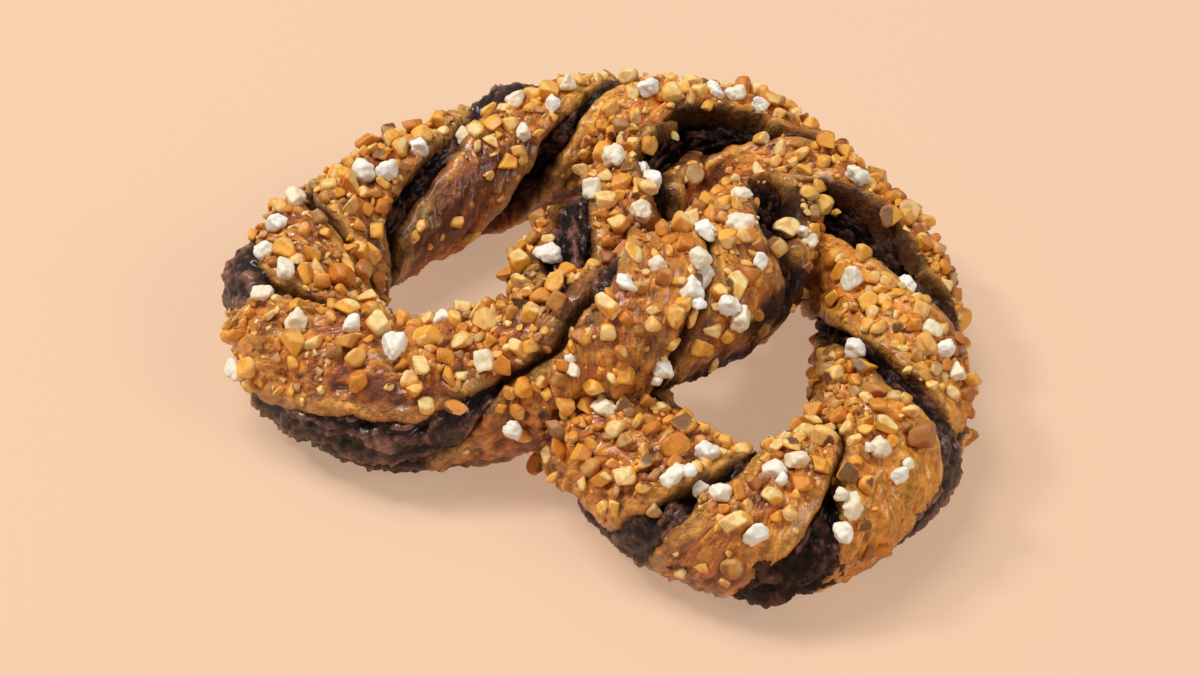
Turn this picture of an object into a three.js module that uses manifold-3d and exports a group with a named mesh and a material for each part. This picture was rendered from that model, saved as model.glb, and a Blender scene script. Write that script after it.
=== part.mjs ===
// Chocolate-filled pastry pretzel with chopped hazelnuts and pearl sugar.
// Millimetres, +Z up. The origin is on the resting plane, under the middle of the plan outline.
// +Y runs from the two loops towards the long back arc, +X is the width.
import * as THREE from 'three';
import { ConvexGeometry } from 'three/addons/geometries/ConvexGeometry.js';
import { mergeVertices } from 'three/addons/utils/BufferGeometryUtils.js';
import Module from 'manifold-3d';

const wasm = await Module();
wasm.setup();

// ---- driving dimensions -------------------------------------------------------------------
const GROOVE_DEPTH = 0.25;      // depth of the two spiral grooves, as a share of the rope's radius
const GROOVE_SPREAD = 0.33;     // half width of a groove, radians about the rope's axis
const GAP = 0.35;               // clearance between dough, filling and toppings, mm
const FILLING_LIFT = 0.85;       // clearance of the filling over the floor of its groove, mm
const FILLING_CROWN = 0.99;     // top of the filling, as a share of the rope's radius
const FILLING_HALF = 0.38;      // half width of the visible filling, radians
const RINGS_PER_STATION = 2;
const BASE_PLANE = 0;           // the baked flat underside
const FILLING_FLOOR = 0.4;      // the filling ends this far above the resting plane

// The rolled rope, from the tucked end of the right strand, under the crossing, round the right
// loop, along the back arc, round the left loop, over the crossing, to the end of the left strand.
// x, y, z of the rope's axis, rope radius, and how far the rope is twisted there, degrees.
const STATIONS = [
  [-11, 40.6, 14.6, 6.6, 171.0], [-10.9, 33.8, 16.6, 8.4, 217.0], [-10.6, 27, 18, 9.3, 257.0],
  [-10, 19, 18.2, 10.8, 321.8], [-10.4, 11.1, 17.2, 12.2, 387.5], [-11.2, 3.5, 15, 13.2, 444.1],
  [-10.8, -4.2, 13, 13.2, 495.3], [-8.3, -11.7, 11.6, 13.2, 532.5], [-4, -18.4, 10.7, 13.2, 569.7],
  [1.2, -24.4, 10.5, 13.2, 604.5], [7, -29.9, 11, 13.3, 636.1], [13.2, -34.8, 11.5, 13.3, 668.3],
  [19.7, -39.5, 12, 13.3, 695.9], [26.7, -43.3, 12.4, 13.3, 721.8], [34.5, -44.8, 12.6, 13.5, 760.9],
  [42.5, -44, 12.5, 13.7, 826.3], [49.5, -40.2, 12.5, 13.9, 900.1], [54.6, -34.2, 12.5, 14.2, 971.7],
  [57.6, -26.8, 12.5, 14.3, 1038.2], [58.7, -18.9, 12.5, 14.4, 1094.1], [58.2, -10.9, 12.5, 14.6, 1149.5],
  [56.3, -3.2, 12.5, 14.8, 1193.1], [53.3, 4.2, 12.5, 14.9, 1233.3], [49.5, 11.3, 12.5, 14.9, 1271.4],
  [45.1, 17.9, 12.5, 14.9, 1308.5], [40.1, 24.2, 12.5, 14.7, 1343.8], [34.5, 29.9, 12.5, 14.4, 1372.4],
  [28.4, 35, 12.5, 14, 1405.3], [21.8, 39.5, 12.5, 13.6, 1438.9], [14.7, 43.2, 12.5, 13.3, 1474.9],
  [7.2, 46, 12.4, 13, 1516.5], [-0.6, 47.5, 12.1, 12.9, 1560.0], [-8.6, 47.3, 12, 12.9, 1602.8],
  [-16.4, 45.6, 12, 12.9, 1639.5], [-23.7, 42.3, 12, 13, 1673.0], [-30.1, 37.6, 12, 13.1, 1706.4],
  [-35.9, 32, 12, 13.1, 1744.6], [-41, 25.9, 12, 13.1, 1789.6], [-45.3, 19.2, 12, 13.1, 1843.0],
  [-49.3, 12.2, 12, 13.2, 1899.4], [-53, 5.1, 12.2, 13.3, 1951.4], [-56, -2.2, 12.5, 13.5, 2002.2],
  [-58.1, -10, 12.7, 13.8, 2055.0], [-59, -17.9, 12.9, 14.2, 2107.4], [-58.2, -25.8, 13, 14.5, 2165.4],
  [-55.7, -33.4, 13, 14.9, 2219.7], [-50.9, -39.8, 13, 14.9, 2260.3], [-44.3, -44.2, 13, 14.7, 2292.3],
  [-36.6, -45.9, 13, 14.6, 2317.7], [-28.6, -45.1, 13, 14.6, 2330.9], [-21.4, -41.7, 13.1, 14.3, 2344.1],
  [-14.7, -37.5, 14.2, 14, 2353.5], [-8.3, -33.2, 16.3, 13.8, 2362.2], [-2.1, -30.1, 20.2, 13.7, 2374.2],
  [3.9, -27.4, 24.7, 13.6, 2420.2], [9.8, -23.5, 28.4, 13.6, 2484.3], [14.8, -17.7, 30.1, 13.8, 2555.4],
  [18, -10.5, 28.9, 14, 2607.6], [19.3, -2.9, 26.8, 14.1, 2658.8], [19.3, 4.7, 24.3, 13.9, 2702.8],
  [18.8, 12.2, 21.7, 13.1, 2743.6], [17.8, 19.8, 19.3, 11.8, 2787.6], [16.5, 27.3, 17, 10.8, 2836.6],
  [15.6, 33.6, 15.2, 9, 2874.3],
];

// Toppings: distance along the rope, angle about it (0 is outwards, 90 is straight up), size, spin.
const SUGAR_NIBS = [
  [304.7, 89, 5, 2.3], [316.7, 94, 5.2, 2.9], [291.7, 78, 5.1, 2.9], [294.7, 118, 4.4, 1.4], [329.7, 90, 5.3, 2], [342.7, 65, 5.3, 0.4],
  [362.7, 82, 4.9, 0.8], [30.9, 79, 4.9, 1.8], [280.7, 76, 4.4, 0.7], [264.7, 94, 4.7, 2.8], [247.7, 94, 5.2, 0.5], [20.9, 99, 5.2, 0.4],
  [473.5, 101, 5, 0.4], [461.5, 83, 4.4, 2.7], [444.6, 89, 4.6, 0.7], [450.5, 25, 5.4, 2.7], [185.8, 119, 4.7, 3], [213.7, 76, 4.9, 2.1],
  [183.8, 80, 4.6, 2.9], [45.9, 67, 5.1, 3], [373.7, 73, 5.3, 0.9], [381.6, 93, 4.8, 0.5], [391.6, 81, 4.5, 0.2], [412.6, 3, 4.7, 1.9],
];
const HAZELNUTS = [
  [40.7, 130, 6, 1.7], [54.7, 119, 6, 0.5], [80.8, 47, 4.9, 1.2], [88, 104, 5.2, 3.1], [94.6, 39, 4.9, 0.1], [102.9, 110, 5.7, 2.9],
  [113, 157, 5.3, 2.4], [118.7, 49, 4.6, 1.7], [126.2, 118, 6, 1.1], [135.7, 70, 5.7, 2], [146.6, 142, 4.9, 0.8], [154.7, 99, 5.2, 0.5],
  [163.6, 60, 5.7, 1.5], [202.1, 70, 5.8, 0.6], [210.7, 129, 6, 1.6], [225.2, 74, 5.6, 2], [227.6, 135, 5.9, 2.5], [242.2, 58, 5.6, 2.2],
  [243.7, 157, 5.1, 2.5], [321, 43, 4.8, 2.4], [355.3, 142, 4.8, 0.7], [371.5, 20, 5.5, 2.4], [402.6, 34, 5.5, 1.1],
  [406.3, 134, 5.2, 1.3], [415, 96, 4.6, 2.4], [430.8, 112, 5, 1.9], [447.4, 147, 5.4, 0.8], [464, 141, 5.5, 0.7], [476.6, 50, 5.6, 1.5],
];

const FIRST_SPLIT = 22;         // stations where the sweep is divided, so that no part meets itself
const SECOND_SPLIT = 42;

// ---- the rope ------------------------------------------------------------------------------
function catmull(a, b, c, d, t) {
  return 0.5 * (2 * b + (c - a) * t + (2 * a - 5 * b + 4 * c - d) * t * t + (3 * b - a - 3 * c + d) * t * t * t);
}

// One frame for each ring: centre, outward-horizontal and upward directions, radius and twist.
const rings = [];
for (let i = 0; i < STATIONS.length - 1; i++) {
  const p = [Math.max(i - 1, 0), i, i + 1, Math.min(i + 2, STATIONS.length - 1)].map((k) => STATIONS[k]);
  for (let j = 0; j < RINGS_PER_STATION; j++) {
    const t = j / RINGS_PER_STATION;
    rings.push(STATIONS[0].map((_, k) => catmull(p[0][k], p[1][k], p[2][k], p[3][k], t)));
  }
}
rings.push(STATIONS[STATIONS.length - 1].slice());
const frames = rings.map((r, i) => {
  const a = rings[Math.max(i - 1, 0)];
  const b = rings[Math.min(i + 1, rings.length - 1)];
  const along = new THREE.Vector3(b[0] - a[0], b[1] - a[1], b[2] - a[2]).normalize();
  const side = new THREE.Vector3().crossVectors(along, new THREE.Vector3(0, 0, 1)).normalize();
  const up = new THREE.Vector3().crossVectors(side, along).normalize();
  return { c: new THREE.Vector3(r[0], r[1], r[2]), side, up, along, R: r[3], twist: THREE.MathUtils.degToRad(r[4]) };
});

function at(frame, angle, radius) {
  return frame.c.clone()
    .addScaledVector(frame.side, Math.cos(angle) * radius)
    .addScaledVector(frame.up, Math.sin(angle) * radius);
}

// Radius of the dough at an angle measured from the first groove.
function doughShare(phi) {
  let share = 1;
  for (const g of [0, Math.PI]) {
    const d = Math.atan2(Math.sin(phi - g), Math.cos(phi - g));
    share -= GROOVE_DEPTH * Math.exp(-((d / GROOVE_SPREAD) ** 2));
  }
  return share;
}

// A closed solid from a run of rings, each a list of points in the same order.
function sweep(loops) {
  const n = loops[0].length;
  const verts = [];
  for (const loop of loops) for (const p of loop) verts.push(p.x, p.y, p.z);
  const tris = [];
  for (let i = 0; i < loops.length - 1; i++) {
    for (let j = 0; j < n; j++) {
      const a = i * n + j;
      const b = i * n + ((j + 1) % n);
      tris.push(a, b, a + n, b, b + n, a + n);
    }
  }
  for (const [i, flip] of [[0, false], [loops.length - 1, true]]) {
    const mid = new THREE.Vector3();
    for (const p of loops[i]) mid.add(p);
    mid.divideScalar(n);
    const m = verts.length / 3;
    verts.push(mid.x, mid.y, mid.z);
    for (let j = 0; j < n; j++) {
      const a = i * n + j;
      const b = i * n + ((j + 1) % n);
      if (flip) tris.push(m, a, b); else tris.push(m, b, a);
    }
  }
  let solid = new wasm.Manifold(new wasm.Mesh({ numProp: 3, vertProperties: new Float32Array(verts), triVerts: new Uint32Array(tris) }));
  if (solid.volume() < 0) {
    for (let k = 0; k < tris.length; k += 3) [tris[k + 1], tris[k + 2]] = [tris[k + 2], tris[k + 1]];
    solid = new wasm.Manifold(new wasm.Mesh({ numProp: 3, vertProperties: new Float32Array(verts), triVerts: new Uint32Array(tris) }));
  }
  return solid;
}

const DOUGH_ANGLES = [-1.2, -0.75, -0.38, -0.17, 0, 0.17, 0.38, 0.75, 1.2];
const doughLoop = (f) => [0, Math.PI].flatMap((g) => DOUGH_ANGLES.map((d) => at(f, f.twist + g + d, f.R * doughShare(g + d))));
const plainLoop = (f) => Array.from({ length: 22 }, (_, k) => at(f, f.twist + (k / 22) * 2 * Math.PI, (f.R + GAP) / Math.cos(Math.PI / 22)));

// Filling in groove g: its floor follows the groove at a clear distance, its top is crowned.
const FILLING_ANGLES = [-FILLING_HALF, -0.17, 0, 0.17, FILLING_HALF];
function fillingLoop(f, g) {
  const floor = FILLING_ANGLES.map((d) => at(f, f.twist + g + d, f.R * doughShare(g + d) + FILLING_LIFT));
  const top = [FILLING_HALF, 0, -FILLING_HALF].map((d) => {
    const edge = f.R * doughShare(g + d) + FILLING_LIFT + 0.45;
    return at(f, f.twist + g + d, Math.max(edge, f.R * FILLING_CROWN * (1 - 0.16 * d * d)));
  });
  return [...floor, ...top];
}

const A = FIRST_SPLIT * RINGS_PER_STATION;
const B = SECOND_SPLIT * RINGS_PER_STATION;
const END = frames.length - 1;
const run = (from, to, loop) => sweep(frames.slice(from, to + 1).map((f) => loop(f)));

function boxSolid(minZ, maxZ) {
  const g = new THREE.BoxGeometry(400, 400, maxZ - minZ);
  g.translate(0, 0, (minZ + maxZ) / 2);
  return solidOf(g);
}

function solidOf(geometry) {
  let g = geometry.clone();
  g.deleteAttribute('normal');
  g.deleteAttribute('uv');
  g = mergeVertices(g, 1e-4);
  return new wasm.Manifold(new wasm.Mesh({
    numProp: 3,
    vertProperties: new Float32Array(g.attributes.position.array),
    triVerts: new Uint32Array(g.index.array),
  }));
}

function geometryOf(solid) {
  const mesh = solid.getMesh();
  const count = mesh.vertProperties.length / mesh.numProp;
  const positions = new Float32Array(count * 3);
  for (let i = 0; i < count; i++) for (let k = 0; k < 3; k++) positions[i * 3 + k] = mesh.vertProperties[i * mesh.numProp + k];
  const g = new THREE.BufferGeometry();
  g.setAttribute('position', new THREE.BufferAttribute(positions, 3));
  g.setIndex(new THREE.BufferAttribute(new Uint32Array(mesh.triVerts), 1));
  g.computeVertexNormals();
  return g;
}

// ---- dough: one baked piece ----------------------------------------------------------------
const rightStrand = run(0, A, doughLoop);
const backArc = run(A, B, doughLoop);
const leftStrand = run(B, END, doughLoop);
const dough = rightStrand.add(backArc).add(leftStrand).subtract(boxSolid(-60, BASE_PLANE));

// ---- filling: it shows in the two spiral grooves, wherever no other strand covers it ---------
const CLEAR = 4;                // rings left out where a strand runs into the next
const shifted = (f, d) => ({ ...f, c: f.c.clone().addScaledVector(f.along, d) });
const cover = (list) => sweep([shifted(list[0], -0.5), ...list, shifted(list[list.length - 1], 0.5)].map(plainLoop));
const coverRight = cover(frames.slice(0, A + 1));
const coverRightShort = cover(frames.slice(0, A - CLEAR + 1));
const coverArc = cover(frames.slice(A + CLEAR, B - CLEAR + 1));
const coverLeft = cover(frames.slice(B, END + 1));
const coverLeftShort = cover(frames.slice(B + CLEAR, END + 1));
const haloLoop = (f) => [0, Math.PI].flatMap((g) => DOUGH_ANGLES.map((d) => at(f, f.twist + g + d, f.R * doughShare(g + d) + GAP)));
const halo = run(0, A, haloLoop).add(run(A, B, haloLoop)).add(run(B, END, haloLoop));
const fillings = [];
for (const g of [0, Math.PI]) {
  const loop = (f) => fillingLoop(f, g);
  const right = run(0, A, loop).subtract(coverLeft).subtract(coverArc);
  const arc = run(A, B, loop).subtract(coverRightShort).subtract(coverLeftShort);
  const left = run(B, END, loop).subtract(coverRight).subtract(coverArc);
  const whole = right.add(arc).add(left).subtract(halo).subtract(boxSolid(-60, FILLING_FLOOR));
  for (const piece of whole.decompose()) if (piece.volume() > 25) fillings.push(piece);
}
fillings.sort((p, q) => q.volume() - p.volume());

// ---- toppings -------------------------------------------------------------------------------
function random(seed) {
  let s = seed >>> 0;
  return () => {
    s = (s + 0x6d2b79f5) >>> 0;
    let t = s;
    t = Math.imul(t ^ (t >>> 15), t | 1);
    t ^= t + Math.imul(t ^ (t >>> 7), t | 61);
    return ((t ^ (t >>> 14)) >>> 0) / 4294967296;
  };
}

// A pearl-sugar nib: a small rounded, uneven lump.
function nibShape(size, rnd) {
  const pts = [];
  for (let i = 0; i < 13; i++) {
    const z = 1 - (2 * i + 1) / 13;
    const a = i * 2.39996 + rnd() * 0.5;
    const h = Math.sqrt(1 - z * z);
    const r = size / 2 * (0.88 + 0.2 * rnd());
    pts.push(new THREE.Vector3(Math.cos(a) * h * r, Math.sin(a) * h * r * 0.86, z * r * 0.72));
  }
  return new ConvexGeometry(pts);
}

// A piece of chopped hazelnut: a skewed little block with cut faces.
function nutShape(size, rnd) {
  const pts = [];
  for (const x of [-1, 1]) for (const y of [-1, 1]) for (const z of [-1, 1]) {
    pts.push(new THREE.Vector3(
      x * size * (0.36 + 0.16 * rnd()), y * size * (0.28 + 0.15 * rnd()), z * size * (0.2 + 0.12 * rnd())));
  }
  pts.push(new THREE.Vector3((rnd() - 0.5) * size * 0.3, (rnd() - 0.5) * size * 0.3, size * 0.38));
  return new ConvexGeometry(pts);
}

const ringLength = [0];
for (let i = 1; i < frames.length; i++) ringLength.push(ringLength[i - 1] + frames[i].c.distanceTo(frames[i - 1].c));
function frameAt(distance) {
  let i = 1;
  while (i < frames.length - 1 && ringLength[i] < distance) i++;
  const t = (distance - ringLength[i - 1]) / (ringLength[i] - ringLength[i - 1]);
  const a = frames[i - 1];
  const b = frames[i];
  return {
    c: a.c.clone().lerp(b.c, t), side: a.side.clone().lerp(b.side, t).normalize(), up: a.up.clone().lerp(b.up, t).normalize(),
    along: a.along.clone().lerp(b.along, t).normalize(), R: a.R + (b.R - a.R) * t, twist: a.twist + (b.twist - a.twist) * t,
  };
}

function place(shape, [distance, angleDeg, , spin]) {
  const f = frameAt(distance);
  const angle = THREE.MathUtils.degToRad(angleDeg);
  const out = f.side.clone().multiplyScalar(Math.cos(angle)).addScaledVector(f.up, Math.sin(angle));
  const along = f.along.clone().addScaledVector(out, -f.along.dot(out)).normalize();
  const across = new THREE.Vector3().crossVectors(out, along);
  const turned = along.clone().multiplyScalar(Math.cos(spin)).addScaledVector(across, Math.sin(spin));
  const third = new THREE.Vector3().crossVectors(out, turned);
  const g = shape.clone();
  g.applyMatrix4(new THREE.Matrix4().makeBasis(turned, third, out));
  const share = doughShare(angle - f.twist);
  const base = f.c.clone().addScaledVector(out, f.R * Math.max(share, 0.9));
  return { g, base, out };
}

// Each topping is seated on the crust and lifted until it is clear of everything below and beside it.
const ground = [dough, ...fillings];
const seated = [];
function seat(name, shape, row) {
  const { g, base, out } = place(shape, row);
  for (let lift = 0.4; lift < 6; lift += 0.1) {
    const t = g.clone();
    t.translate(base.x + out.x * lift, base.y + out.y * lift, base.z + out.z * lift);
    const solid = solidOf(t);
    const near = (other) => solid.minGap(other, 2) < GAP - 0.03 || solid.intersect(other).volume() > 0;
    if (ground.some(near)) continue;
    if (seated.some((s) => s.centre.distanceTo(base) < 16 && near(s.solid))) return;
    if (lift > 3.6) return;
    seated.push({ name, solid, centre: base.clone().addScaledVector(out, lift) });
    return;
  }
}

const nibRandom = random(41);
SUGAR_NIBS.forEach((row, i) => seat(`sugar_nib_${String(i + 1).padStart(2, '0')}`, nibShape(row[2], nibRandom), row));
const nutRandom = random(97);
HAZELNUTS.forEach((row, i) => seat(`hazelnut_piece_${String(i + 1).padStart(2, '0')}`, nutShape(row[2], nutRandom), row));

// ---- the assembly ---------------------------------------------------------------------------
const doughMaterial = new THREE.MeshStandardMaterial({ color: 0xb9783a, roughness: 0.5, metalness: 0 });
const fillingMaterial = new THREE.MeshStandardMaterial({ color: 0x3e2623, roughness: 0.6, metalness: 0 });
const sugarMaterial = new THREE.MeshStandardMaterial({ color: 0xf6efe2, roughness: 0.55, metalness: 0 });
const hazelnutMaterial = new THREE.MeshStandardMaterial({ color: 0xd99a4e, roughness: 0.6, metalness: 0 });

const pretzel = new THREE.Group();
function addNode(name, solid, material) {
  const mesh = new THREE.Mesh(geometryOf(solid), material);
  mesh.name = name;
  pretzel.add(mesh);
}
addNode('pastry_twist', dough, doughMaterial);
fillings.forEach((solid, i) => addNode(`chocolate_filling_${i + 1}`, solid, fillingMaterial));
const toppings = new THREE.Group();
pretzel.add(toppings);
for (const { name, solid } of seated) {
  const mesh = new THREE.Mesh(geometryOf(solid), name.startsWith('sugar') ? sugarMaterial : hazelnutMaterial);
  mesh.name = name;
  toppings.add(mesh);
}

export default pretzel;
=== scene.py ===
# Chocolate-filled pastry pretzel with chopped hazelnuts and pearl sugar: the looks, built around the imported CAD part.
import math

import bpy
import numpy as np
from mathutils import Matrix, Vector
from mathutils.bvhtree import BVHTree


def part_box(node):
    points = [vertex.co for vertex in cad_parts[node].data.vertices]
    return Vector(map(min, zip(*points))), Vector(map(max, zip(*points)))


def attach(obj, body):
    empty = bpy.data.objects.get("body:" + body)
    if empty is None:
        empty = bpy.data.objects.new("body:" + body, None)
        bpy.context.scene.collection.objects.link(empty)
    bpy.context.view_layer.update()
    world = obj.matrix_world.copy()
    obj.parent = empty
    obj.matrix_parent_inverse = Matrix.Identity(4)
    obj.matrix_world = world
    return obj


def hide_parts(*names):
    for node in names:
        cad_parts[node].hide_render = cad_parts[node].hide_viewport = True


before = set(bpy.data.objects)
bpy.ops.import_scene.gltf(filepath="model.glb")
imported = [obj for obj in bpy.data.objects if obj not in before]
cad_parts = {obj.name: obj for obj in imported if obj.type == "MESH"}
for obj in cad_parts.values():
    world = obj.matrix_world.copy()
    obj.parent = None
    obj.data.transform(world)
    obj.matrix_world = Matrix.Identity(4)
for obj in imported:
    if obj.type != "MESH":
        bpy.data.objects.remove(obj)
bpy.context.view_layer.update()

# ------------------------------------------------------------------ camera
AZ, EL = math.radians(27.3), math.radians(45.0)
LENS, SENSOR, DIST = 80.0, 36.0, 0.5333
TARGET = Vector((-0.00650, -0.00211, 0.0))
BACK = Vector((math.sin(AZ) * math.cos(EL), -math.cos(AZ) * math.cos(EL), math.sin(EL)))
cam_data = bpy.data.cameras.new("camera")
cam_data.lens, cam_data.sensor_width = LENS, SENSOR
cam_data.clip_start, cam_data.clip_end = 0.01, 20.0
cam = bpy.data.objects.new("camera", cam_data)
bpy.context.scene.collection.objects.link(cam)
cam.location = TARGET + BACK * DIST
cam.rotation_euler = (-BACK).to_track_quat("-Z", "Y").to_euler()
bpy.context.scene.camera = cam

# ------------------------------------------------------------------ the rolled rope, as in the CAD part (mm, degrees)
STATIONS = np.array([

  [-11, 40.6, 14.6, 6.6, 171.0], [-10.9, 33.8, 16.6, 8.4, 217.0], [-10.6, 27, 18, 9.3, 257.0],
  [-10, 19, 18.2, 10.8, 321.8], [-10.4, 11.1, 17.2, 12.2, 387.5], [-11.2, 3.5, 15, 13.2, 444.1],
  [-10.8, -4.2, 13, 13.2, 495.3], [-8.3, -11.7, 11.6, 13.2, 532.5], [-4, -18.4, 10.7, 13.2, 569.7],
  [1.2, -24.4, 10.5, 13.2, 604.5], [7, -29.9, 11, 13.3, 636.1], [13.2, -34.8, 11.5, 13.3, 668.3],
  [19.7, -39.5, 12, 13.3, 695.9], [26.7, -43.3, 12.4, 13.3, 721.8], [34.5, -44.8, 12.6, 13.5, 760.9],
  [42.5, -44, 12.5, 13.7, 826.3], [49.5, -40.2, 12.5, 13.9, 900.1], [54.6, -34.2, 12.5, 14.2, 971.7],
  [57.6, -26.8, 12.5, 14.3, 1038.2], [58.7, -18.9, 12.5, 14.4, 1094.1], [58.2, -10.9, 12.5, 14.6, 1149.5],
  [56.3, -3.2, 12.5, 14.8, 1193.1], [53.3, 4.2, 12.5, 14.9, 1233.3], [49.5, 11.3, 12.5, 14.9, 1271.4],
  [45.1, 17.9, 12.5, 14.9, 1308.5], [40.1, 24.2, 12.5, 14.7, 1343.8], [34.5, 29.9, 12.5, 14.4, 1372.4],
  [28.4, 35, 12.5, 14, 1405.3], [21.8, 39.5, 12.5, 13.6, 1438.9], [14.7, 43.2, 12.5, 13.3, 1474.9],
  [7.2, 46, 12.4, 13, 1516.5], [-0.6, 47.5, 12.1, 12.9, 1560.0], [-8.6, 47.3, 12, 12.9, 1602.8],
  [-16.4, 45.6, 12, 12.9, 1639.5], [-23.7, 42.3, 12, 13, 1673.0], [-30.1, 37.6, 12, 13.1, 1706.4],
  [-35.9, 32, 12, 13.1, 1744.6], [-41, 25.9, 12, 13.1, 1789.6], [-45.3, 19.2, 12, 13.1, 1843.0],
  [-49.3, 12.2, 12, 13.2, 1899.4], [-53, 5.1, 12.2, 13.3, 1951.4], [-56, -2.2, 12.5, 13.5, 2002.2],
  [-58.1, -10, 12.7, 13.8, 2055.0], [-59, -17.9, 12.9, 14.2, 2107.4], [-58.2, -25.8, 13, 14.5, 2165.4],
  [-55.7, -33.4, 13, 14.9, 2219.7], [-50.9, -39.8, 13, 14.9, 2260.3], [-44.3, -44.2, 13, 14.7, 2292.3],
  [-36.6, -45.9, 13, 14.6, 2317.7], [-28.6, -45.1, 13, 14.6, 2330.9], [-21.4, -41.7, 13.1, 14.3, 2344.1],
  [-14.7, -37.5, 14.2, 14, 2353.5], [-8.3, -33.2, 16.3, 13.8, 2362.2], [-2.1, -30.1, 20.2, 13.7, 2374.2],
  [3.9, -27.4, 24.7, 13.6, 2420.2], [9.8, -23.5, 28.4, 13.6, 2484.3], [14.8, -17.7, 30.1, 13.8, 2555.4],
  [18, -10.5, 28.9, 14, 2607.6], [19.3, -2.9, 26.8, 14.1, 2658.8], [19.3, 4.7, 24.3, 13.9, 2702.8],
  [18.8, 12.2, 21.7, 13.1, 2743.6], [17.8, 19.8, 19.3, 11.8, 2787.6], [16.5, 27.3, 17, 10.8, 2836.6],
  [15.6, 33.6, 15.2, 9, 2874.3]
], float)


def smooth(e0, e1, x):
    t = np.clip((x - e0) / (e1 - e0), 0, 1)
    return t * t * (3 - 2 * t)


def catmull(P, n):
    out = []
    for i in range(len(P) - 1):
        p0, p1, p2, p3 = P[max(i - 1, 0)], P[i], P[i + 1], P[min(i + 2, len(P) - 1)]
        t = (np.arange(n) / n)[:, None]
        out.append(0.5 * (2 * p1 + (p2 - p0) * t + (2 * p0 - 5 * p1 + 4 * p2 - p3) * t ** 2 + (3 * p1 - p0 - 3 * p2 + p3) * t ** 3))
    out.append(P[-1:])
    return np.concatenate(out)


_f = catmull(STATIONS, 24)
_s = np.r_[0, np.cumsum(np.linalg.norm(np.diff(_f[:, :3], axis=0), axis=1))]
LENGTH = float(_s[-1])


class Rope:
    """Frames of the rope at distances s along it."""

    def __init__(self, s):
        self.s = np.asarray(s, float)
        self.c = np.stack([np.interp(self.s, _s, _f[:, k]) for k in range(3)], 1)
        self.R = np.interp(self.s, _s, _f[:, 3])
        self.twist = np.radians(np.interp(self.s, _s, _f[:, 4]))
        e = 0.6
        a = np.stack([np.interp(self.s - e, _s, _f[:, k]) for k in range(3)], 1)
        b = np.stack([np.interp(self.s + e, _s, _f[:, k]) for k in range(3)], 1)
        self.T = (b - a) / np.linalg.norm(b - a, axis=1)[:, None]
        side = np.cross(self.T, [0, 0, 1.0])
        self.S = side / np.linalg.norm(side, axis=1)[:, None]
        self.N = np.cross(self.S, self.T)

    def out(self, th):
        return np.cos(th)[..., None] * self.S + np.sin(th)[..., None] * self.N


# ------------------------------------------------------------------ noise
def _hash(ix, iy, iz, seed):
    h = (ix * 374761393 + iy * 668265263 + iz * 2147483647 + seed * 1274126177) & 0xFFFFFFFF
    h = ((h ^ (h >> 13)) * 1274126177) & 0xFFFFFFFF
    h = ((h ^ (h >> 16)) * 2246822519) & 0xFFFFFFFF
    return h ^ (h >> 15)


_G = np.random.default_rng(7).normal(size=(256, 3))
_G /= np.linalg.norm(_G, axis=1)[:, None]


def perlin(P, seed=0):
    P = np.asarray(P, float)
    i = np.floor(P).astype(np.int64)
    f = P - i
    u = f * f * f * (f * (f * 6 - 15) + 10)
    out = 0
    for dx in (0, 1):
        for dy in (0, 1):
            for dz in (0, 1):
                g = _G[_hash(i[..., 0] + dx, i[..., 1] + dy, i[..., 2] + dz, seed) & 255]
                d = (g * (f - np.array([dx, dy, dz]))).sum(-1)
                w = (u[..., 0] if dx else 1 - u[..., 0]) * (u[..., 1] if dy else 1 - u[..., 1]) * (u[..., 2] if dz else 1 - u[..., 2])
                out = out + w * d
    return out * 1.5


def fbm(P, octaves, seed=0, gain=0.5):
    a, tot, out = 1.0, 0.0, 0
    for k in range(octaves):
        out = out + a * perlin(P * 2.0 ** k, seed + k * 17)
        tot += a
        a *= gain
    return out / tot


def worley(P, seed=0):
    """Distance to the nearest and second nearest scattered point."""
    i = np.floor(P).astype(np.int64)
    f1 = np.full(P.shape[:-1], 9.0)
    f2 = np.full(P.shape[:-1], 9.0)
    for dx in (-1, 0, 1):
        for dy in (-1, 0, 1):
            for dz in (-1, 0, 1):
                c = i + np.array([dx, dy, dz])
                h = _hash(c[..., 0], c[..., 1], c[..., 2], seed)
                o = np.stack([(h & 1023) / 1023.0, ((h >> 10) & 1023) / 1023.0, ((h >> 20) & 1023) / 1023.0], -1)
                d = np.linalg.norm(c + o - P, axis=-1)
                f2 = np.minimum(f2, np.maximum(f1, d))
                f1 = np.minimum(f1, d)
    return f1, f2


def srgb(r, g, b):
    v = np.array([r, g, b], float) / 255.0
    return np.where(v <= 0.04045, v / 12.92, ((v + 0.055) / 1.055) ** 2.4)


def mix(a, b, t):
    return a + (b - a) * np.asarray(t)[..., None]


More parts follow.
